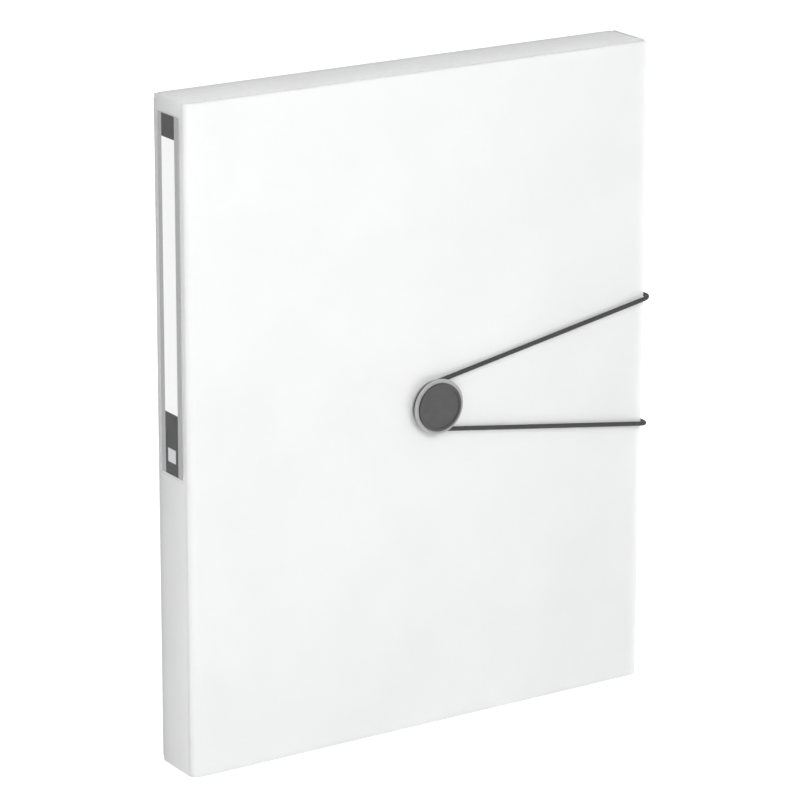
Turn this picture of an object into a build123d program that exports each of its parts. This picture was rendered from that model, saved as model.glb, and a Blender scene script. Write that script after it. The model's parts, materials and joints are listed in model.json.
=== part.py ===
"""Upright box folder of frosted plastic sheet for A4 papers, closed by an elastic cord and a round button.

One creased sheet makes the back, the spine, the walls, the inner flap and the front cover. Each panel
and each crease is a piece of its own here. The folder stands on its lower end: +Z is up, the cover faces
-Y, the spine is at -X and the fore edge at +X. The origin is the middle of the footprint. Millimetres.
"""

import math
import os

from build123d import *

# Closed folder, outside
BOX_WIDTH = 252.0
BOX_DEPTH = 30.0
BOX_HEIGHT = 320.0

# Sheet, creases and the gaps around the moving cover
SHEET = 0.8
BACK_FOLD = 2.5
COVER_FOLD = 3.8
FLAP_FOLD = 2.0
COVER_GAP = 0.3
COVER_END_GAP = 0.3
COVER_CORNER = 1.5

# Inner flap along the fore edge
FLAP_WIDTH = 56.0
FLAP_END_GAP = 2.5
FLAP_CORNER = 10.0

# Welded tabs at both ends of the top and bottom walls
TAB_LENGTH = 26.0
TAB_BEND = 1.5
TAB_CHAMFER = 6.0
CORNER_RELIEF = 0.3
TAB_GAP = 0.05
WELD_RADIUS = 1.5
WELD_DEPTH = 0.2
WELD_PITCH = 7.0
WELD_COUNT = 3

# Elastic cord, held in two eyelets of the fore edge wall
CORD_DIAMETER = 2.2
CORD_NECK_GAP = 0.3
CORD_SIDE_OFFSET = 2.6
CORD_FRONT_OFFSET = 2.2
CORD_EXIT_RADIUS = 2.4
CORD_CORNER_RADIUS = 3.6
CORD_SPLIT_RUN = 0.8
ANCHOR_MIDDLE = 162.5
ANCHOR_SPREAD = 64.0
ANCHOR_Y = 3.0
EYELET_BORE_GAP = 0.15
EYELET_WALL = 0.8
EYELET_SEAT_GAP = 0.05
EYELET_FLANGE_RADIUS = 3.8
EYELET_FLANGE = 0.5
CRIMP_RADIUS = 2.4
CRIMP_LENGTH = 5.0
CRIMP_BORE_GAP = 0.02
CRIMP_WAIST = 0.5

# Button: spool that the cord is hooked over, cap on its face with a peg, washer inside the cover
BUTTON_FROM_SPINE = 132.0
BUTTON_HEIGHT = 160.0
FOOT_RADIUS = 12.0
FOOT_THICKNESS = 0.7
NECK_RADIUS = 10.0
GROOVE_WIDTH = 2.8
RIM_RADIUS = 13.4
RIM_THICKNESS = 1.2
RIM_FILLET = 0.4
CAP_RADIUS = 11.6
CAP_THICKNESS = 1.5
CAP_BORDER = 1.4
CAP_DISH = 0.35
CAP_FILLET = 0.5
PEG_RADIUS = 2.6
PEG_GAP = 0.05
TURN_GAP = 0.08
WASHER_RADIUS = 8.0
WASHER_THICKNESS = 0.8
PEG_HEAD_RADIUS = 3.6
PEG_HEAD = 0.4

# Label pocket of clear film on the spine, open at its upper end, and the card in it
POCKET_WIDTH = 21.0
POCKET_LENGTH = 170.0
POCKET_FROM_TOP = 7.0
POCKET_FILM = 0.3
POCKET_SEAM = 1.2
CARD_THICKNESS = 0.35
CARD_FACE_GAP = 0.1
CARD_SIDE_GAP = 0.2
CARD_SHORT = 0.6

# Places worked out from the sizes above
LEFT = -BOX_WIDTH / 2
RIGHT = BOX_WIDTH / 2
FRONT = -BOX_DEPTH / 2
BACK = BOX_DEPTH / 2
UNDER_COVER = FRONT + SHEET + COVER_GAP
CORD_RADIUS = CORD_DIAMETER / 2
CORD_Y = FRONT - CORD_FRONT_OFFSET
CORD_X = RIGHT + CORD_SIDE_OFFSET
CORD_SPLIT_Y = CORD_Y + CORD_CORNER_RADIUS + CORD_SPLIT_RUN
WRAP_RADIUS = NECK_RADIUS + CORD_NECK_GAP + CORD_RADIUS
BUTTON_X = LEFT + BUTTON_FROM_SPINE
ANCHOR_HEIGHTS = (ANCHOR_MIDDLE - ANCHOR_SPREAD / 2, ANCHOR_MIDDLE + ANCHOR_SPREAD / 2)
EYELET_BORE = CORD_RADIUS + EYELET_BORE_GAP
EYELET_BARREL = EYELET_BORE + EYELET_WALL
CRIMP_END_X = RIGHT - SHEET - EYELET_FLANGE - CRIMP_LENGTH


def slab(x0, x1, y0, y1, z0, z1):
    """Box between two corners."""
    return Pos((x0 + x1) / 2, (y0 + y1) / 2, (z0 + z1) / 2) * Box(x1 - x0, y1 - y0, z1 - z0)


def disc_x(radius, x0, x1, y, z):
    """Cylinder along X between x0 and x1."""
    return Pos((x0 + x1) / 2, y, z) * Rot(0, 90, 0) * Cylinder(radius, x1 - x0)


def disc_y(radius, y0, y1, x, z):
    """Cylinder along Y between y0 and y1."""
    return Pos(x, (y0 + y1) / 2, z) * Rot(90, 0, 0) * Cylinder(radius, y1 - y0)


def fold_shell(radius, length):
    """Quarter of a tube along +Z from the origin: a crease bent through a right angle, towards -X and -Y."""
    ring = Circle(radius) - Circle(radius - SHEET)
    quarter = ring & (Pos(-radius / 2, -radius / 2) * Rectangle(radius, radius))
    return extrude(quarter, length)


def back_panel():
    """Flat back, from crease to crease."""
    return slab(LEFT + BACK_FOLD, RIGHT - BACK_FOLD, BACK - SHEET, BACK, BACK_FOLD, BOX_HEIGHT - BACK_FOLD)


def spine_panel():
    """Flat spine, which carries the label pocket."""
    return slab(LEFT, LEFT + SHEET, FRONT + COVER_FOLD, BACK - BACK_FOLD, 0, BOX_HEIGHT)


def fore_edge_wall():
    """Wall at the fore edge, with a hole for each eyelet."""
    wall = slab(RIGHT - SHEET, RIGHT, UNDER_COVER + FLAP_FOLD, BACK - BACK_FOLD, 0, BOX_HEIGHT)
    for height in ANCHOR_HEIGHTS:
        wall -= disc_x(EYELET_BARREL + EYELET_SEAT_GAP, RIGHT - 2 * SHEET, RIGHT + SHEET, ANCHOR_Y, height)
    return wall


def cover_corner():
    """Corner that the bottom wall leaves free round the cover's crease."""
    square = slab(LEFT, LEFT + COVER_FOLD, FRONT, FRONT + COVER_FOLD, 0, TAB_LENGTH)
    inside = Cylinder(COVER_FOLD - SHEET - COVER_GAP, TAB_LENGTH)
    return square - Pos(LEFT + COVER_FOLD, FRONT + COVER_FOLD, TAB_LENGTH / 2) * inside


def end_wall():
    """Bottom wall, with two tabs folded up inside the spine and the fore edge wall and spot welded there."""
    inside_width = BOX_WIDTH - 2 * (SHEET + TAB_GAP)
    outer = Pos(0, TAB_LENGTH / 2) * Rectangle(inside_width, TAB_LENGTH)
    outer = fillet(outer.vertices().group_by(Axis.Y)[0], TAB_BEND)
    inner = Pos(0, TAB_LENGTH / 2 + SHEET) * Rectangle(inside_width - 2 * SHEET, TAB_LENGTH)
    inner = fillet(inner.vertices().group_by(Axis.Y)[0], TAB_BEND - SHEET)
    depth = BACK - BACK_FOLD - UNDER_COVER
    wall = Pos(0, BACK - BACK_FOLD, 0) * Rot(90, 0, 0) * extrude(outer - inner, depth)
    for y, way in ((UNDER_COVER, 1), (BACK - BACK_FOLD, -1)):
        along = (y + way * TAB_CHAMFER, TAB_LENGTH)
        down = (y, TAB_LENGTH - TAB_CHAMFER)
        corner = Polygon((y, TAB_LENGTH), along, down, align=None)
        wall -= Plane.YZ * extrude(corner, BOX_WIDTH / 2, both=True)
    flap_side = FLAP_FOLD + CORNER_RELIEF
    flap_end = FLAP_END_GAP - CORNER_RELIEF
    wall -= slab(RIGHT - flap_side, RIGHT, FRONT, UNDER_COVER + flap_side, flap_end, TAB_LENGTH)
    wall -= cover_corner()
    middle_y = (UNDER_COVER + BACK - BACK_FOLD) / 2
    for side in (-1, 1):
        face_x = side * (inside_width / 2 - SHEET)
        for spot in range(WELD_COUNT):
            y = middle_y + (spot - (WELD_COUNT - 1) / 2) * WELD_PITCH
            wall -= disc_x(WELD_RADIUS, face_x - WELD_DEPTH, face_x + WELD_DEPTH, y, TAB_LENGTH / 2)
    return wall


def long_crease(x_side):
    """Crease between the back and the spine or the fore edge wall."""
    shell = Rot(0, 0, 90 if x_side > 0 else 0) * fold_shell(BACK_FOLD, BOX_HEIGHT - 2 * BACK_FOLD)
    placed = Pos(x_side * (BOX_WIDTH / 2 - BACK_FOLD), FRONT + BACK_FOLD, BACK_FOLD) * shell
    return mirror(placed, about=Plane.XZ)


def bottom_crease():
    """Crease between the back and the bottom wall."""
    shell = Rot(0, 90, 0) * Rot(0, 0, 180) * fold_shell(BACK_FOLD, BOX_WIDTH - 2 * BACK_FOLD)
    return Pos(LEFT + BACK_FOLD, BACK - BACK_FOLD, BACK_FOLD) * shell


def cover_crease():
    """Crease between the spine and the cover, which bends as the cover opens."""
    return Pos(LEFT + COVER_FOLD, FRONT + COVER_FOLD, COVER_END_GAP) * fold_shell(
        COVER_FOLD, BOX_HEIGHT - 2 * COVER_END_GAP
    )


def flap_crease():
    """Crease between the fore edge wall and the inner flap, which bends as the flap opens."""
    shell = Rot(0, 0, 90) * fold_shell(FLAP_FOLD, BOX_HEIGHT - 2 * FLAP_END_GAP)
    return Pos(RIGHT - FLAP_FOLD, UNDER_COVER + FLAP_FOLD, FLAP_END_GAP) * shell


def fore_edge_flap():
    """Flap that lies under the cover along the fore edge, with its two free corners rounded."""
    flap = slab(
        RIGHT - FLAP_WIDTH,
        RIGHT - FLAP_FOLD,
        UNDER_COVER,
        UNDER_COVER + SHEET,
        FLAP_END_GAP,
        BOX_HEIGHT - FLAP_END_GAP,
    )
    return fillet(flap.edges().filter_by(Axis.Y).group_by(Axis.X)[0], FLAP_CORNER)


def front_cover():
    """Front cover, with a round hole for the button's peg."""
    cover = slab(LEFT + COVER_FOLD, RIGHT, FRONT, FRONT + SHEET, COVER_END_GAP, BOX_HEIGHT - COVER_END_GAP)
    cover = fillet(cover.edges().filter_by(Axis.Y).group_by(Axis.X)[-1], COVER_CORNER)
    return cover - disc_y(PEG_RADIUS + TURN_GAP, FRONT - SHEET, FRONT + 2 * SHEET, BUTTON_X, BUTTON_HEIGHT)


def button_levels():
    """Y of the spool's foot, the groove's two sides, the rim's face and the cap's face, outwards."""
    foot = FRONT - TURN_GAP
    groove_in = foot - FOOT_THICKNESS
    groove_out = groove_in - GROOVE_WIDTH
    rim = groove_out - RIM_THICKNESS
    return foot, groove_in, groove_out, rim, rim - CAP_THICKNESS


def button_spool():
    """Foot against the cover, neck that the cord is hooked over, and rim that keeps the cord on."""
    foot, groove_in, groove_out, rim, _ = button_levels()
    outer = disc_y(RIM_RADIUS, rim, groove_out, BUTTON_X, BUTTON_HEIGHT)
    outer = fillet(outer.edges().filter_by(GeomType.CIRCLE), RIM_FILLET)
    spool = outer + disc_y(FOOT_RADIUS, groove_in, foot, BUTTON_X, BUTTON_HEIGHT)
    spool += disc_y(NECK_RADIUS, groove_out, groove_in, BUTTON_X, BUTTON_HEIGHT)
    return spool - disc_y(PEG_RADIUS + PEG_GAP, rim, foot, BUTTON_X, BUTTON_HEIGHT)


def button_cap():
    """Dished cap with a peg through the spool, the cover and the washer, and a spread head at its end."""
    _, _, _, rim, face = button_levels()
    head = FRONT + SHEET + WASHER_THICKNESS + TURN_GAP
    cap = disc_y(CAP_RADIUS, face, rim, BUTTON_X, BUTTON_HEIGHT)
    cap = fillet(cap.edges().group_by(Axis.Y)[0], CAP_FILLET)
    cap -= disc_y(CAP_RADIUS - CAP_BORDER, face, face + CAP_DISH, BUTTON_X, BUTTON_HEIGHT)
    cap += disc_y(PEG_RADIUS, rim, head, BUTTON_X, BUTTON_HEIGHT)
    return cap + disc_y(PEG_HEAD_RADIUS, head, head + PEG_HEAD, BUTTON_X, BUTTON_HEIGHT)


def button_washer():
    """Washer inside the cover that the peg is spread over."""
    inside = FRONT + SHEET
    washer = disc_y(WASHER_RADIUS, inside, inside + WASHER_THICKNESS, BUTTON_X, BUTTON_HEIGHT)
    return washer - disc_y(PEG_RADIUS + TURN_GAP, inside, inside + WASHER_THICKNESS, BUTTON_X, BUTTON_HEIGHT)


def eyelet(height):
    """Eyelet rolled over on both faces of the fore edge wall."""
    ring = disc_x(EYELET_BARREL, RIGHT - SHEET, RIGHT, ANCHOR_Y, height)
    ring += disc_x(EYELET_FLANGE_RADIUS, RIGHT, RIGHT + EYELET_FLANGE, ANCHOR_Y, height)
    ring += disc_x(EYELET_FLANGE_RADIUS, RIGHT - SHEET - EYELET_FLANGE, RIGHT - SHEET, ANCHOR_Y, height)
    rims = ring.edges().filter_by(GeomType.CIRCLE).group_by(Axis.X)
    ring = fillet(rims[0] + rims[-1], EYELET_FLANGE / 2)
    return ring - disc_x(EYELET_BORE, RIGHT - SHEET - EYELET_FLANGE, RIGHT + EYELET_FLANGE, ANCHOR_Y, height)


def cord_crimp(height):
    """Ferrule pressed round the cord's end, waisted at its middle, too wide to pass the eyelet."""
    middle = CRIMP_END_X + CRIMP_LENGTH / 2
    crimp = disc_x(CRIMP_RADIUS, CRIMP_END_X, CRIMP_END_X + CRIMP_LENGTH, ANCHOR_Y, height)
    waist = disc_x(CRIMP_RADIUS, middle - CRIMP_WAIST, middle + CRIMP_WAIST, ANCHOR_Y, height)
    waist -= disc_x(CRIMP_RADIUS - CRIMP_WAIST, middle - CRIMP_WAIST, middle + CRIMP_WAIST, ANCHOR_Y, height)
    bore = disc_x(CORD_RADIUS + CRIMP_BORE_GAP, CRIMP_END_X, CRIMP_END_X + CRIMP_LENGTH, ANCHOR_Y, height)
    return crimp - waist - bore


def anchor_run(height):
    """Cord from its crimp out through the eyelet and along the fore edge, as far as the loop."""
    path = FilletPolyline(
        (CRIMP_END_X, ANCHOR_Y, height),
        (CORD_X, ANCHOR_Y, height),
        (CORD_X, CORD_SPLIT_Y, height),
        radius=CORD_EXIT_RADIUS,
    )
    return tube(path)


def tube(path):
    """Round cord swept along a path."""
    section = Plane(origin=path @ 0, z_dir=path % 0) * Circle(CORD_RADIUS)
    return sweep(section, path=path)


def neck_tangent(height):
    """Point where the straight run from an anchor height meets the turn round the spool."""
    side = 1 if height > BUTTON_HEIGHT else -1
    across = CORD_X - BUTTON_X
    up = height - BUTTON_HEIGHT
    reach = math.hypot(across, up)
    angle = math.atan2(up, across) + side * math.acos(WRAP_RADIUS / reach)
    return BUTTON_X + WRAP_RADIUS * math.cos(angle), BUTTON_HEIGHT + WRAP_RADIUS * math.sin(angle)


def elastic_loop():
    """Cord from the fore edge round the cover's edge, across the cover and round the button's neck."""
    low, high = ANCHOR_HEIGHTS
    edges = []
    ends = []
    for height in (low, high):
        x, z = neck_tangent(height)
        ends.append((x, CORD_Y, z))
        edges.append(
            FilletPolyline(
                (CORD_X, CORD_SPLIT_Y, height),
                (CORD_X, CORD_Y, height),
                (x, CORD_Y, z),
                radius=CORD_CORNER_RADIUS,
            )
        )
    turn = ThreePointArc(ends[0], (BUTTON_X - WRAP_RADIUS, CORD_Y, BUTTON_HEIGHT), ends[1])
    path = Wire(edges[0].edges() + turn.edges() + edges[1].edges())
    return tube(path)


def label_pocket():
    """Clear film welded to the spine along two sides and its lower end."""
    low = BOX_HEIGHT - POCKET_FROM_TOP - POCKET_LENGTH
    high = BOX_HEIGHT - POCKET_FROM_TOP
    depth = CARD_THICKNESS + 2 * CARD_FACE_GAP
    half = POCKET_WIDTH / 2
    pocket = slab(LEFT - depth - POCKET_FILM, LEFT, -half, half, low, high)
    return pocket - slab(LEFT - depth, LEFT, -half + POCKET_SEAM, half - POCKET_SEAM, low + POCKET_SEAM, high)


def label_card():
    """Card that slides up out of the pocket."""
    low = BOX_HEIGHT - POCKET_FROM_TOP - POCKET_LENGTH + POCKET_SEAM
    high = BOX_HEIGHT - POCKET_FROM_TOP - CARD_SHORT
    half = POCKET_WIDTH / 2 - POCKET_SEAM - CARD_SIDE_GAP
    return slab(LEFT - CARD_FACE_GAP - CARD_THICKNESS, LEFT - CARD_FACE_GAP, -half, half, low, high)


def to_top(piece):
    """The same piece at the folder's other end."""
    return mirror(piece, about=Plane.XY.offset(BOX_HEIGHT / 2))


def build():
    """Every piece by its node name."""
    bottom_wall = end_wall()
    low_crease = bottom_crease()
    pieces = {
        "back_panel": back_panel(),
        "spine_panel": spine_panel(),
        "fore_edge_wall": fore_edge_wall(),
        "bottom_wall": bottom_wall,
        "top_wall": to_top(bottom_wall),
        "back_bottom_crease": low_crease,
        "back_top_crease": to_top(low_crease),
        "back_spine_crease": long_crease(-1),
        "back_fore_edge_crease": long_crease(1),
        "front_cover": front_cover(),
        "cover_crease": cover_crease(),
        "fore_edge_flap": fore_edge_flap(),
        "flap_crease": flap_crease(),
        "button_cap": button_cap(),
        "button_spool": button_spool(),
        "button_washer": button_washer(),
        "elastic_loop": elastic_loop(),
        "label_pocket": label_pocket(),
        "label_card": label_card(),
    }
    for place, height in zip(("lower", "upper"), ANCHOR_HEIGHTS):
        pieces[f"{place}_eyelet"] = eyelet(height)
        pieces[f"{place}_cord_crimp"] = cord_crimp(height)
        pieces[f"{place}_elastic_anchor"] = anchor_run(height)
    return pieces


def main():
    """Writes one STEP file for each piece."""
    os.makedirs("parts", exist_ok=True)
    for name, piece in build().items():
        export_step(piece, f"parts/{name}.step")


main()
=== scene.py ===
"""Frosted box folder, standing closed, with its elastic hooked over the button. Metres."""

import json
import math

import bmesh
import bpy
import numpy as np
from mathutils import Matrix, Vector

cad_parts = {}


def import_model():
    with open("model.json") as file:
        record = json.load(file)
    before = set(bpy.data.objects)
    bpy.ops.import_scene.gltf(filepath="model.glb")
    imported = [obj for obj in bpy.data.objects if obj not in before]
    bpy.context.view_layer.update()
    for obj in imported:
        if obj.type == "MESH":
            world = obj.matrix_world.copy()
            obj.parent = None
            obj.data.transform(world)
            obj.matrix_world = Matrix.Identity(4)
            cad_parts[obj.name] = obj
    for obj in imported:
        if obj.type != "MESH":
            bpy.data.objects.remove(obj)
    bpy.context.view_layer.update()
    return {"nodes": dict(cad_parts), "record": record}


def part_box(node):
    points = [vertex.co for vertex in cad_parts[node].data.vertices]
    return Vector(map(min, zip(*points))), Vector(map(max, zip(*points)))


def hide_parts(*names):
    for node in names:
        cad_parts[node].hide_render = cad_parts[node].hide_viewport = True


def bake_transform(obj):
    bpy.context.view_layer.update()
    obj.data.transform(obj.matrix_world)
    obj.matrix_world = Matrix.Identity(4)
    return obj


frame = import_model()
MM = 0.001

# Closed folder, from the frame. Z is up, Y goes to the back, and the spine is at the low end of X.
BACK_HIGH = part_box("back_panel")[1]
COVER_LOW, COVER_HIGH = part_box("front_cover")
CREASE_LOW, CREASE_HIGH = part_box("cover_crease")
FLAP_LOW, FLAP_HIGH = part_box("fore_edge_flap")
FLAP_CREASE_LOW, FLAP_CREASE_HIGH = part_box("flap_crease")
SPOOL_LOW, SPOOL_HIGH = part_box("button_spool")
CARD_LOW, CARD_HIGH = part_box("label_card")
LOOP_LOW, LOOP_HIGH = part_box("elastic_loop")
ANCHOR_LOW, ANCHOR_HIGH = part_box("lower_elastic_anchor")
UPPER_ANCHOR_LOW, UPPER_ANCHOR_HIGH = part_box("upper_elastic_anchor")
SHEET = COVER_HIGH.y - COVER_LOW.y
COVER_FOLD = CREASE_HIGH.x - CREASE_LOW.x
FLAP_FOLD = FLAP_CREASE_HIGH.x - FLAP_CREASE_LOW.x
BUTTON_X = (SPOOL_LOW.x + SPOOL_HIGH.x) / 2
BUTTON_Z = (SPOOL_LOW.z + SPOOL_HIGH.z) / 2

# Shapes that the sheet takes by itself, with the share of the swell that is left at its edges
COVER_SWELL = 0.7 * MM
SWELL_RISE = 7 * MM
SWELL_AT_FORE_EDGE = 0.35
SWELL_AT_ENDS = 0.55
BUTTON_DIMPLE = 26 * MM
DIMPLE_STRETCH = 0.8
EDGE_RELAX = 30 * MM
COVER_CORNER = 1.5 * MM
FLAP_CORNER = 10 * MM
GROOVE_DEPTH = 0.12 * MM
GROOVE_WIDTH = 0.35 * MM
GROOVE_FROM_EDGE = 0.3 * MM
GROOVE_PAST_FOLD = 0.2 * MM
EDGE_BEVEL = 0.12 * MM
BEVEL_SEGMENTS = 2
BEVEL_ANGLE = 60
PEG_HOLE = 2.68 * MM
PEG_HOLE_SIDES = 48
PEG_CUT_LENGTH = 10 * MM

# Mesh steps of the bent sheets: round the fold, up the sheet, and along its section
COVER_FOLD_STEPS = 14
COVER_ROWS = 110
COVER_FINE_STEP = 0.5 * MM
COVER_FINE_ENDS = 6 * MM
FLAP_FOLD_STEPS = 12
FLAP_ROWS = 90
FLAP_FINE_STEP = 0.6 * MM
FLAP_FINE_ENDS = 12 * MM
COARSE_STEP = 3 * MM

# Elastic cord
CORD_RADIUS = (ANCHOR_HIGH.z - ANCHOR_LOW.z) / 2
CORD_CORNER = 3.6 * MM
CORD_EXIT = 2.4 * MM
BRAID_RELIEF = 0.07 * MM
BRAID_STEP = 0.35 * MM
BRAID_SIDES = 32
BRAID_CARRIERS = 8
BRAID_PITCH = 7 * MM
EXIT_STEPS = 8
CORNER_STEPS = 10
WRAP_STEPS = 40
CORD_SMOOTH_ANGLE = 60

# Label print, across and up the card
LABEL_FIELD_HALF = 5.7 * MM
LABEL_FIELD_TOP = CARD_HIGH.z - 10.5 * MM
LABEL_FIELD_BOTTOM = CARD_LOW.z + 29.5 * MM
WINDOW_HALF = 3.5 * MM
WINDOW_BOTTOM = CARD_LOW.z + 6.0 * MM
WINDOW_TOP = CARD_LOW.z + 12.5 * MM
WINDOW_GREY = (0.62, 0.62, 0.63)
BORDER_GREY = (0.38, 0.38, 0.385)

# Greys of the sheet from the cover to the back: painted shade, lighter just behind the cover and darker
# towards the back folds, with the cover and the back panel at the same grey
SHEET_PAINTED_SHADE = [
    (0.0, (0.885, 0.887, 0.889)),
    (0.10, (0.945, 0.947, 0.948)),
    (0.75, (0.815, 0.817, 0.819)),
    (0.95, (0.725, 0.727, 0.729)),
    (1.0, (0.885, 0.887, 0.889)),
]

# Camera, fitted to the photograph's corners
CAMERA_AZIMUTH = -32.84
CAMERA_ELEVATION = 17.3
CAMERA_ROLL = 0.21
CAMERA_DISTANCE = 1.902
CAMERA_TARGET = (-0.0032, 0.0, 0.1597)
CAMERA_LENS = 182.1
SENSOR = 36.0

# Light: strengths of the surroundings and of the floor's own white, and two soft boxes
WORLD_STRENGTH = 0.765
FLOOR_LIFT = 0.5
FLOOR_SIZE = 30
FLOOR_GREY = 0.93
KEY_LIGHT = {"place": (-0.36, -1.26, 0.96), "aim": (-0.02, 0, 0.12), "size": 0.9, "power": 16.6}
BACK_LIGHT = {"place": (0.15, 1.2, 0.26), "aim": (0, 0, 0.16), "size": 0.5, "power": 3.2}


# Helpers


def finished(piece):
    """Applies the piece's modifiers to its mesh."""
    bpy.context.view_layer.update()
    graph = bpy.context.evaluated_depsgraph_get()
    mesh = bpy.data.meshes.new_from_object(piece.evaluated_get(graph))
    piece.modifiers.clear()
    piece.data = mesh
    return piece


def smooth(piece, angle=35):
    """Shades smooth, with sharp edges past the angle."""
    piece.data.polygons.foreach_set("use_smooth", [True] * len(piece.data.polygons))
    piece.data.set_sharp_from_angle(angle=math.radians(angle))
    return piece


def new_piece(name, vertices, faces, material):
    """Mesh object from vertices and faces."""
    mesh = bpy.data.meshes.new(name)
    mesh.from_pydata([tuple(v) for v in vertices], [], faces)
    mesh.validate()
    mesh.materials.append(material)
    piece = bpy.data.objects.new(name, mesh)
    bpy.context.scene.collection.objects.link(piece)
    return piece


def smooth_step(value):
    """0 below 0, 1 above 1, and smooth between."""
    t = min(max(value, 0.0), 1.0)
    return t * t * (3 - 2 * t)


# Materials


def material(name):
    """New node material, its node tree and its shader."""
    made = bpy.data.materials.new(name)
    made.use_nodes = True
    tree = made.node_tree
    shader = tree.nodes["Principled BSDF"]
    return made, tree, shader


def add_node(tree, kind, inputs=(), **settings):
    """Adds a node, sets its properties and feeds its inputs with numbers or other sockets."""
    node = tree.nodes.new(kind)
    for key, value in settings.items():
        setattr(node, key, value)
    for key, value in dict(inputs).items():
        if isinstance(value, bpy.types.NodeSocket):
            tree.links.new(value, node.inputs[key])
        else:
            node.inputs[key].default_value = value
    return node


def math_node(tree, operation, *inputs):
    """Result of a math node on numbers or sockets."""
    return add_node(tree, "ShaderNodeMath", enumerate(inputs), operation=operation).outputs[0]


def object_coordinates(tree, scale=(1, 1, 1)):
    """Object coordinates in millimetres, stretched by scale."""
    coordinates = add_node(tree, "ShaderNodeTexCoord")
    mapping = add_node(tree, "ShaderNodeMapping", {"Vector": coordinates.outputs["Object"]})
    mapping.inputs["Scale"].default_value = tuple(1000 * s for s in scale)
    return mapping.outputs["Vector"]


def noise(tree, vector, scale, detail=3.0, roughness=0.5):
    """Noise value, scale in cells a millimetre."""
    node = add_node(tree, "ShaderNodeTexNoise", {"Vector": vector, "Scale": scale, "Detail": detail})
    node.inputs["Roughness"].default_value = roughness
    return node.outputs["Fac"]


def ramp(tree, value, stops):
    """Colour ramp with (position, colour) stops; a colour is a grey or three numbers."""
    node = add_node(tree, "ShaderNodeValToRGB", {"Fac": value})
    points = node.color_ramp.elements
    while len(points) < len(stops):
        points.new(0.5)
    for point, (position, colour) in zip(points, stops):
        point.position = position
        rgb = (colour,) * 3 if isinstance(colour, (int, float)) else colour
        point.color = (*rgb, 1.0)
    return node.outputs["Color"]


def bump(tree, shader, layers):
    """Chains bump nodes: (height socket, strength, distance in metres)."""
    normal = None
    for height, strength, distance in layers:
        sizes = {"Height": height, "Strength": strength, "Distance": distance}
        node = add_node(tree, "ShaderNodeBump", sizes)
        if normal is not None:
            tree.links.new(normal, node.inputs["Normal"])
        normal = node.outputs["Normal"]
    tree.links.new(normal, shader.inputs["Normal"])


def frosted_sheet():
    """Milky polypropylene sheet: sand grain, faint clouding, rub marks, and painted shade that greys the
    walls towards the back folds.
    """
    made, tree, shader = material("frosted_sheet")
    vector = object_coordinates(tree)
    cloud = ramp(tree, noise(tree, vector, 0.03, 4.0), [(0.3, 0.967), (0.7, 1.0)])
    split = add_node(tree, "ShaderNodeSeparateXYZ", {"Vector": vector})
    depth = {"Value": split.outputs["Y"], "From Min": COVER_LOW.y / MM, "From Max": BACK_HIGH.y / MM}
    deep = add_node(tree, "ShaderNodeMapRange", depth)
    # Painted shade: the sheet's grey follows its depth, lighter just behind the cover and darker towards
    # the back folds
    milk_and_painted_shade = ramp(tree, deep.outputs["Result"], SHEET_PAINTED_SHADE)
    colour = add_node(tree, "ShaderNodeVectorMath", {0: milk_and_painted_shade, 1: cloud}, operation="MULTIPLY")
    tree.links.new(colour.outputs["Vector"], shader.inputs["Base Color"])
    rub = noise(tree, object_coordinates(tree, (1.0, 1.0, 0.08)), 0.35, 5.0, 0.65)
    tree.links.new(ramp(tree, rub, [(0.35, 0.36), (0.7, 0.50)]), shader.inputs["Roughness"])
    shader.inputs["Transmission Weight"].default_value = 0.42
    shader.inputs["IOR"].default_value = 1.49
    grain = noise(tree, vector, 3.2, 2.0, 0.6)
    ripple = noise(tree, vector, 0.02, 1.0)
    bump(tree, shader, [(ripple, 0.25, 0.004), (grain, 0.12, 0.00008)])
    return made


def clear_film():
    """Clear film of the label pocket."""
    made, tree, shader = material("clear_film")
    shader.inputs["Base Color"].default_value = (0.60, 0.602, 0.605, 1.0)
    shader.inputs["IOR"].default_value = 1.45
    shader.inputs["Alpha"].default_value = 0.035
    vector = object_coordinates(tree)
    smear = noise(tree, vector, 0.12, 4.0)
    tree.links.new(ramp(tree, smear, [(0.35, 0.06), (0.75, 0.16)]), shader.inputs["Roughness"])
    wave = noise(tree, vector, 0.06, 2.0)
    bump(tree, shader, [(wave, 0.3, 0.0008)])
    return made


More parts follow.
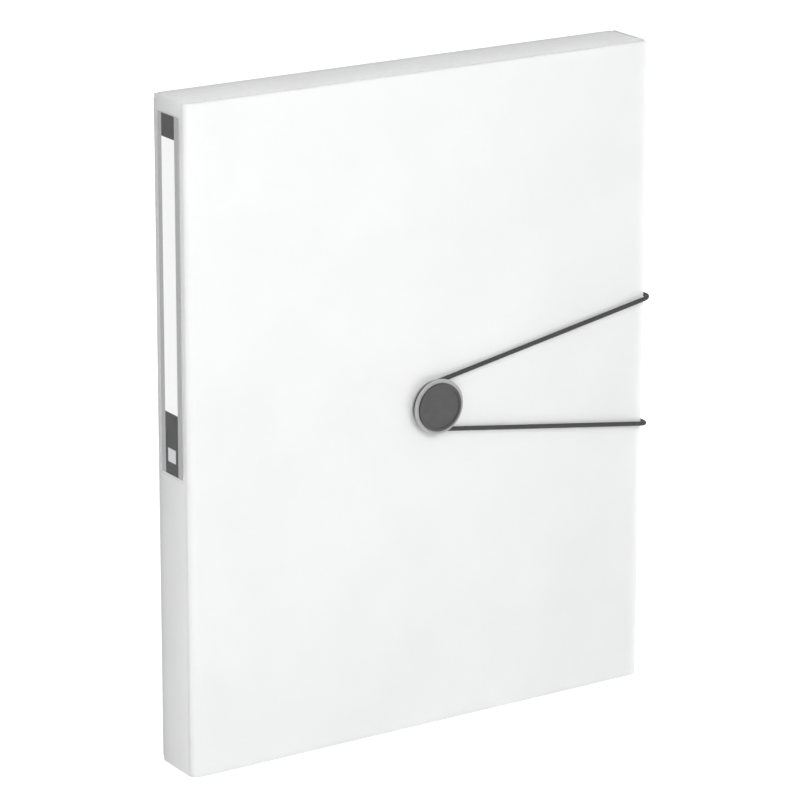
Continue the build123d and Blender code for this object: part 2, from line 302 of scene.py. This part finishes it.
def label_paper():
    """White card with grey side borders and plain dark ends, the lower one with a blank index window."""
    made, tree, shader = material("label_paper")
    coordinates = add_node(tree, "ShaderNodeTexCoord")
    split = add_node(tree, "ShaderNodeSeparateXYZ", {"Vector": coordinates.outputs["Object"]})

    height = split.outputs["Z"]
    across = math_node(tree, "ABSOLUTE", split.outputs["Y"])
    border = math_node(tree, "GREATER_THAN", across, LABEL_FIELD_HALF)
    above = math_node(tree, "GREATER_THAN", height, LABEL_FIELD_TOP)
    below = math_node(tree, "LESS_THAN", height, LABEL_FIELD_BOTTOM)
    ends = math_node(tree, "MAXIMUM", above, below)
    window_across = math_node(tree, "LESS_THAN", across, WINDOW_HALF)
    window_low = math_node(tree, "GREATER_THAN", height, WINDOW_BOTTOM)
    window_high = math_node(tree, "LESS_THAN", height, WINDOW_TOP)
    window_up = math_node(tree, "MULTIPLY", window_low, window_high)
    window = math_node(tree, "MULTIPLY", window_across, window_up)

    def over(base, top, share):
        node = tree.nodes.new("ShaderNodeMix")
        node.data_type = "RGBA"
        tree.links.new(share, node.inputs["Factor"])
        for socket, colour in ((node.inputs["A"], base), (node.inputs["B"], top)):
            if isinstance(colour, bpy.types.NodeSocket):
                tree.links.new(colour, socket)
            else:
                socket.default_value = (*colour, 1.0)
        return node.outputs["Result"]

    fibre = noise(tree, object_coordinates(tree), 1.6, 4.0)
    white = ramp(tree, fibre, [(0.3, 0.94), (0.7, 0.97)])
    dark = ramp(tree, fibre, [(0.3, 0.018), (0.7, 0.028)])
    colour = over(white, dark, ends)
    colour = over(colour, WINDOW_GREY, window)
    colour = over(colour, BORDER_GREY, border)
    tree.links.new(colour, shader.inputs["Base Color"])
    shader.inputs["Roughness"].default_value = 0.6
    shader.inputs["Specular IOR Level"].default_value = 0.25
    bump(tree, shader, [(fibre, 0.15, 0.00004)])
    return made


def plastic(name, low, high, roughness, grain=0.08):
    """Moulded plastic: spark-eroded grain, slight mottling and handling shine."""
    made, tree, shader = material(name)
    vector = object_coordinates(tree)
    mottle = noise(tree, vector, 0.25, 4.0)
    tree.links.new(ramp(tree, mottle, [(0.3, low), (0.7, high)]), shader.inputs["Base Color"])
    shine = noise(tree, vector, 0.5, 3.0)
    rubbed = ramp(tree, shine, [(0.3, roughness - 0.06), (0.7, roughness + 0.08)])
    tree.links.new(rubbed, shader.inputs["Roughness"])
    bump(tree, shader, [(noise(tree, vector, 5.0, 2.0), grain, 0.00006)])
    return made


def elastic_fabric():
    """Dark yarn of uneven shade, dull and a little fuzzy."""
    made, tree, shader = material("elastic_cord")
    vector = object_coordinates(tree)
    yarn = noise(tree, vector, 2.2, 4.0, 0.7)
    dye = ramp(tree, yarn, [(0.25, 0.016), (0.55, 0.034), (0.8, 0.065)])
    tree.links.new(dye, shader.inputs["Base Color"])
    shader.inputs["Roughness"].default_value = 0.82
    shader.inputs["Sheen Weight"].default_value = 0.12
    shader.inputs["Sheen Roughness"].default_value = 0.4
    bump(tree, shader, [(noise(tree, vector, 9.0, 3.0), 0.4, 0.00008)])
    return made


def metal(name, grey, roughness):
    """Plated metal, slightly stained, worn and uneven."""
    made, tree, shader = material(name)
    vector = object_coordinates(tree)
    stain = noise(tree, vector, 0.8, 4.0)
    tree.links.new(ramp(tree, stain, [(0.3, grey * 0.85), (0.7, grey)]), shader.inputs["Base Color"])
    shader.inputs["Metallic"].default_value = 1.0
    wear = noise(tree, vector, 2.0, 5.0)
    tree.links.new(ramp(tree, wear, [(0.3, roughness), (0.8, roughness + 0.2)]), shader.inputs["Roughness"])
    bump(tree, shader, [(noise(tree, vector, 6.0, 2.0), 0.1, 0.00003)])
    return made


SHEET_MATERIAL = frosted_sheet()
FINISHES = {
    "frosted_sheet": SHEET_MATERIAL,
    "clear_film": clear_film(),
    "label_paper": label_paper(),
    "button_cap_plastic": plastic("button_cap_plastic", 0.036, 0.046, 0.50),
    "button_spool_plastic": plastic("button_spool_plastic", 0.28, 0.33, 0.40),
    "washer_plastic": plastic("washer_plastic", 0.72, 0.80, 0.25, 0.03),
    "elastic_cord": elastic_fabric(),
    "eyelet_metal": metal("eyelet_metal", 0.72, 0.22),
    "crimp_metal": metal("crimp_metal", 0.58, 0.34),
}
for part in frame["record"]["subparts"]:
    node = frame["nodes"][part["node"]]
    node.data.materials.clear()
    node.data.materials.append(FINISHES[part["material_slot"]])


# Bent sheets: the front cover and the inner flap, each with its crease


def bent_sheet(name, columns, rows, span, swell, groove):
    """Sheet along Z with a bent section.

    columns is a list of (x, y, outward x, outward y, run), where run is the distance along the section.
    span(run) gives the low and high end, swell(x, z) pushes the sheet outwards, and groove(run) thins it.
    The outer face's vertices come first, column by column, and the inner face's follow in the same order.
    """
    outer, inner = [], []
    for x, y, out_x, out_y, run in columns:
        low, high = span(run)
        for k in range(rows + 1):
            z = low + (high - low) * k / rows
            push = swell(x, z)
            thin = groove(run)
            for side, layer in ((1, outer), (-1, inner)):
                reach = push + side * (SHEET / 2 - thin)
                layer.append((x + out_x * reach, y + out_y * reach, z))
    count = len(columns)
    step = rows + 1
    offset = len(outer)
    faces = []
    for i in range(count - 1):
        for k in range(rows):
            a, b = i * step + k, (i + 1) * step + k
            faces.append((a, b, b + 1, a + 1))
            faces.append((offset + a, offset + a + 1, offset + b + 1, offset + b))
    for i in range(count - 1):
        for k in (0, rows):
            a, b = i * step + k, (i + 1) * step + k
            rim = (a, offset + a, offset + b, b)
            faces.append(rim if k == 0 else rim[::-1])
    for i in (0, count - 1):
        for k in range(rows):
            a = i * step + k
            rim = (a, a + 1, offset + a + 1, offset + a)
            faces.append(rim if i == 0 else rim[::-1])
    piece = new_piece(name, outer + inner, faces, SHEET_MATERIAL)
    mesh = bmesh.new()
    mesh.from_mesh(piece.data)
    bmesh.ops.recalc_face_normals(mesh, faces=mesh.faces)
    mesh.to_mesh(piece.data)
    mesh.free()
    return piece


def bevel_rim(piece):
    """Rounds the cut edges of a sheet."""
    bevel = piece.modifiers.new("rim", "BEVEL")
    bevel.width = EDGE_BEVEL
    bevel.segments = BEVEL_SEGMENTS
    bevel.limit_method = "ANGLE"
    bevel.angle_limit = math.radians(BEVEL_ANGLE)
    return finished(piece)


def fold_columns(centre, radius, start, end, steps):
    """Columns round a fold, from one angle to another."""
    columns = []
    for i in range(steps + 1):
        angle = start + (end - start) * i / steps
        x, y = math.cos(angle), math.sin(angle)
        columns.append((centre[0] + radius * x, centre[1] + radius * y, x, y, abs(angle - start) * radius))
    return columns


def rounded_span(low, high, far, corner):
    """Low and high ends of a column, drawn in round the two free corners."""

    def span(run):
        beyond = run - (far - corner)
        cut = 0.0 if beyond <= 0 else corner - math.sqrt(max(corner**2 - beyond**2, 0.0))
        return low + cut, high - cut

    return span


def crease_groove(places):
    """Pressed lines beside a fold."""

    def groove(run):
        depth = sum(math.exp(-(((run - place) / GROOVE_WIDTH) ** 2)) for place in places)
        return GROOVE_DEPTH * depth

    return groove


def spread(start, end, coarse, fine, dense_ends):
    """Steps from start to end, fine within dense_ends of both ends and coarse between."""
    values = []
    at = start
    way = 1 if end > start else -1
    while (end - at) * way > 1e-9:
        near = min(abs(at - start), abs(end - at))
        values.append(at)
        at += way * (fine if near < dense_ends else coarse)
    values.append(end)
    return values


def cover_swell(x, z):
    """The cover stands a little proud of the box, except at the crease and where the elastic holds it."""
    along = max(x - COVER_LOW.x, 0.0)
    rise = 1 - math.exp(-along / SWELL_RISE)
    from_button = math.hypot(x - BUTTON_X, (z - BUTTON_Z) * DIMPLE_STRETCH)
    held = 1 - math.exp(-((from_button / BUTTON_DIMPLE) ** 2))
    from_fore_edge = smooth_step((COVER_HIGH.x - x) / EDGE_RELAX)
    relax = SWELL_AT_FORE_EDGE + (1 - SWELL_AT_FORE_EDGE) * from_fore_edge
    from_end = smooth_step(min(z - COVER_LOW.z, COVER_HIGH.z - z) / EDGE_RELAX)
    ends = SWELL_AT_ENDS + (1 - SWELL_AT_ENDS) * from_end
    return COVER_SWELL * rise * held * relax * ends


def front_cover():
    """Front cover and its crease at the spine, as one sheet."""
    middle = COVER_FOLD - SHEET / 2
    centre = (CREASE_HIGH.x, CREASE_HIGH.y)
    columns = fold_columns(centre, middle, math.pi, 1.5 * math.pi, COVER_FOLD_STEPS)
    fold_run = columns[-1][4]
    y = COVER_LOW.y + SHEET / 2
    for x in spread(COVER_LOW.x, COVER_HIGH.x, COARSE_STEP, COVER_FINE_STEP, COVER_FINE_ENDS)[1:]:
        columns.append((x, y, 0.0, -1.0, fold_run + x - COVER_LOW.x))
    far = columns[-1][4]
    span = rounded_span(COVER_LOW.z, COVER_HIGH.z, far, COVER_CORNER)
    groove = crease_groove((GROOVE_FROM_EDGE, fold_run + GROOVE_PAST_FOLD))
    piece = bent_sheet("front_cover_sheet", columns, COVER_ROWS, span, cover_swell, groove)
    cut_peg_hole(piece)
    bevel_rim(piece)
    smooth(piece)
    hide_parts("front_cover", "cover_crease")
    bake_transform(piece)


def cut_peg_hole(piece):
    """Round hole in the cover for the button's peg."""
    bpy.ops.mesh.primitive_cylinder_add(
        vertices=PEG_HOLE_SIDES,
        radius=PEG_HOLE,
        depth=PEG_CUT_LENGTH,
        location=(BUTTON_X, COVER_LOW.y, BUTTON_Z),
        rotation=(math.pi / 2, 0, 0),
    )
    cutter = bpy.context.object
    boolean = piece.modifiers.new("hole", "BOOLEAN")
    boolean.operation = "DIFFERENCE"
    boolean.solver = "EXACT"
    boolean.object = cutter
    finished(piece)
    bpy.data.objects.remove(cutter, do_unlink=True)


def inner_flap():
    """Flap under the cover and its crease at the fore edge, as one sheet."""
    middle = FLAP_FOLD - SHEET / 2
    centre = (FLAP_CREASE_LOW.x, FLAP_CREASE_HIGH.y)
    columns = fold_columns(centre, middle, 0.0, -0.5 * math.pi, FLAP_FOLD_STEPS)
    fold_run = columns[-1][4]
    y = FLAP_LOW.y + SHEET / 2
    for x in spread(FLAP_HIGH.x, FLAP_LOW.x, COARSE_STEP, FLAP_FINE_STEP, FLAP_FINE_ENDS)[1:]:
        columns.append((x, y, 0.0, -1.0, fold_run + FLAP_HIGH.x - x))
    far = columns[-1][4]
    span = rounded_span(FLAP_LOW.z, FLAP_HIGH.z, far, FLAP_CORNER)
    groove = crease_groove((GROOVE_FROM_EDGE, fold_run + GROOVE_PAST_FOLD))
    piece = bent_sheet("inner_flap_sheet", columns, FLAP_ROWS, span, lambda x, z: 0.0, groove)
    bevel_rim(piece)
    smooth(piece)
    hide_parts("fore_edge_flap", "flap_crease")
    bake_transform(piece)


# Elastic: one braided cord from crimp to crimp


def round_corner(before, corner, after, radius, steps):
    """Points of an arc that rounds a corner between two straight runs."""
    back = (before - corner).normalized()
    ahead = (after - corner).normalized()
    half = back.angle(ahead) / 2
    reach = radius / math.tan(half)
    centre = corner + (back + ahead).normalized() * (radius / math.sin(half))
    first = corner + back * reach - centre
    last = corner + ahead * reach - centre
    turn = first.angle(last)
    points = []
    for i in range(steps + 1):
        share = i / steps
        swing = first * math.sin((1 - share) * turn) + last * math.sin(share * turn)
        points.append(centre + swing / math.sin(turn))
    return points


def cord_route():
    """Middle line of the elastic: out at the lower eyelet, round the button's neck, in at the upper one."""
    front_y = LOOP_LOW.y + CORD_RADIUS
    outside_x = LOOP_HIGH.x - CORD_RADIUS
    wrap = BUTTON_X - (LOOP_LOW.x + CORD_RADIUS)
    arms = []
    for low, high, side in ((ANCHOR_LOW, ANCHOR_HIGH, -1), (UPPER_ANCHOR_LOW, UPPER_ANCHOR_HIGH, 1)):
        z = (low.z + high.z) / 2
        across, up = outside_x - BUTTON_X, z - BUTTON_Z
        angle = math.atan2(up, across) + side * math.acos(wrap / math.hypot(across, up))
        touch = Vector((BUTTON_X + wrap * math.cos(angle), front_y, BUTTON_Z + wrap * math.sin(angle)))
        start = Vector((low.x, high.y - CORD_RADIUS, z))
        exit_corner = Vector((outside_x, start.y, z))
        front_corner = Vector((outside_x, front_y, z))
        points = [start]
        points += round_corner(start, exit_corner, front_corner, CORD_EXIT, EXIT_STEPS)
        points += round_corner(exit_corner, front_corner, touch, CORD_CORNER, CORNER_STEPS)
        points.append(touch)
        arms.append((points, angle))
    (lower, low_angle), (upper, high_angle) = arms
    turn = []
    sweep = low_angle + 2 * math.pi - high_angle
    for i in range(1, WRAP_STEPS):
        angle = low_angle - sweep * i / WRAP_STEPS
        turn.append(Vector((BUTTON_X + wrap * math.cos(angle), front_y, BUTTON_Z + wrap * math.sin(angle))))
    return lower + turn + upper[::-1]


def even_steps(points, step):
    """Points at even distances along a polyline."""
    lengths = [0.0]
    for a, b in zip(points, points[1:]):
        lengths.append(lengths[-1] + (b - a).length)
    count = max(int(lengths[-1] / step), 2)
    spaced = []
    for i in range(count + 1):
        at = lengths[-1] * i / count
        k = min(max(int(np.searchsorted(lengths, at)), 1), len(points) - 1)
        share = (at - lengths[k - 1]) / max(lengths[k] - lengths[k - 1], 1e-12)
        spaced.append(points[k - 1].lerp(points[k], share))
    return spaced


def braid_height(angle, along):
    """Relief of a tubular braid: strands that cross over and under each other, from 0 to 1."""
    turn = BRAID_CARRIERS / 2
    twist = 2 * math.pi * along / BRAID_PITCH
    right = math.cos(turn * (angle + twist))
    left = math.cos(turn * (angle - twist))
    over = math.cos(turn * angle * 2) * 0.5 + 0.5
    return max(right * over, left * (1 - over)) * 0.5 + 0.5


def elastic_cord():
    """Braided round cord along its route."""
    points = even_steps(cord_route(), BRAID_STEP)
    vertices, faces = [], []
    normal = Vector((0, 0, 1))
    for i, point in enumerate(points):
        ahead = points[min(i + 1, len(points) - 1)] - points[max(i - 1, 0)]
        tangent = ahead.normalized()
        normal = (normal - tangent * normal.dot(tangent)).normalized()
        side = tangent.cross(normal)
        for k in range(BRAID_SIDES):
            angle = 2 * math.pi * k / BRAID_SIDES
            radius = CORD_RADIUS - BRAID_RELIEF * (1 - braid_height(angle, i * BRAID_STEP))
            vertices.append(point + (normal * math.cos(angle) + side * math.sin(angle)) * radius)
    for i in range(len(points) - 1):
        for k in range(BRAID_SIDES):
            a, b = i * BRAID_SIDES + k, i * BRAID_SIDES + (k + 1) % BRAID_SIDES
            faces.append((a, b, b + BRAID_SIDES, a + BRAID_SIDES))
    faces.append(tuple(range(BRAID_SIDES))[::-1])
    faces.append(tuple(range(len(vertices) - BRAID_SIDES, len(vertices))))
    piece = new_piece("elastic", vertices, faces, FINISHES["elastic_cord"])
    smooth(piece, CORD_SMOOTH_ANGLE)
    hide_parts("elastic_loop", "lower_elastic_anchor", "upper_elastic_anchor")
    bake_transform(piece)


front_cover()
inner_flap()
elastic_cord()


# Floor, world, lights and camera


def white_to_the_eye(tree, strength):
    """The strength for rays from the camera, in gloss and through the sheet, and 0 for the others."""
    path = add_node(tree, "ShaderNodeLightPath")
    seen = math_node(tree, "MAXIMUM", path.outputs["Is Camera Ray"], path.outputs["Is Glossy Ray"])
    seen = math_node(tree, "MAXIMUM", seen, path.outputs["Is Transmission Ray"])
    return math_node(tree, "MULTIPLY", seen, strength)


def floor():
    """Pale floor that keeps the folder's shadow and is white where none falls."""
    bpy.ops.mesh.primitive_plane_add(size=FLOOR_SIZE)
    plane = bpy.context.object
    plane.name = "floor"
    made, tree, shader = material("floor_white")
    shader.inputs["Base Color"].default_value = (FLOOR_GREY, FLOOR_GREY, FLOOR_GREY, 1.0)
    shader.inputs["Roughness"].default_value = 1.0
    shader.inputs["Specular IOR Level"].default_value = 0.0
    shader.inputs["Emission Color"].default_value = (1.0, 1.0, 1.0, 1.0)
    tree.links.new(white_to_the_eye(tree, FLOOR_LIFT), shader.inputs["Emission Strength"])
    plane.data.materials.append(made)


def world():
    """Even pale surroundings, white where they are seen."""
    made = bpy.data.worlds.new("studio")
    made.use_nodes = True
    tree = made.node_tree
    background = tree.nodes["Background"]
    background.inputs["Color"].default_value = (1.0, 1.0, 1.0, 1.0)
    seen = white_to_the_eye(tree, 1.0 - WORLD_STRENGTH)
    strength = math_node(tree, "ADD", seen, WORLD_STRENGTH)
    tree.links.new(strength, background.inputs["Strength"])
    bpy.context.scene.world = made


def area_light(name, place, aim, size, power):
    """Square soft box aimed at a point."""
    data = bpy.data.lights.new(name, "AREA")
    data.shape = "SQUARE"
    data.size = size
    data.energy = power
    light = bpy.data.objects.new(name, data)
    light.location = place
    light.rotation_euler = (Vector(aim) - Vector(place)).to_track_quat("-Z", "Y").to_euler()
    bpy.context.scene.collection.objects.link(light)


def camera():
    """The photograph's viewpoint."""
    azimuth, elevation = math.radians(CAMERA_AZIMUTH), math.radians(CAMERA_ELEVATION)
    back = Vector(
        (
            math.sin(azimuth) * math.cos(elevation),
            -math.cos(azimuth) * math.cos(elevation),
            math.sin(elevation),
        )
    )
    data = bpy.data.cameras.new("camera")
    data.lens = CAMERA_LENS
    data.sensor_width = SENSOR
    eye = bpy.data.objects.new("camera", data)
    turn = back.to_track_quat("Z", "Y").to_matrix().to_4x4()
    place = Matrix.Translation(Vector(CAMERA_TARGET) + back * CAMERA_DISTANCE)
    eye.matrix_world = place @ turn @ Matrix.Rotation(math.radians(CAMERA_ROLL), 4, "Z")
    bpy.context.scene.collection.objects.link(eye)
    bpy.context.scene.camera = eye


floor()
world()
area_light("key", **KEY_LIGHT)
area_light("back", **BACK_LIGHT)
camera()

bpy.context.scene.view_settings.view_transform = "Standard"
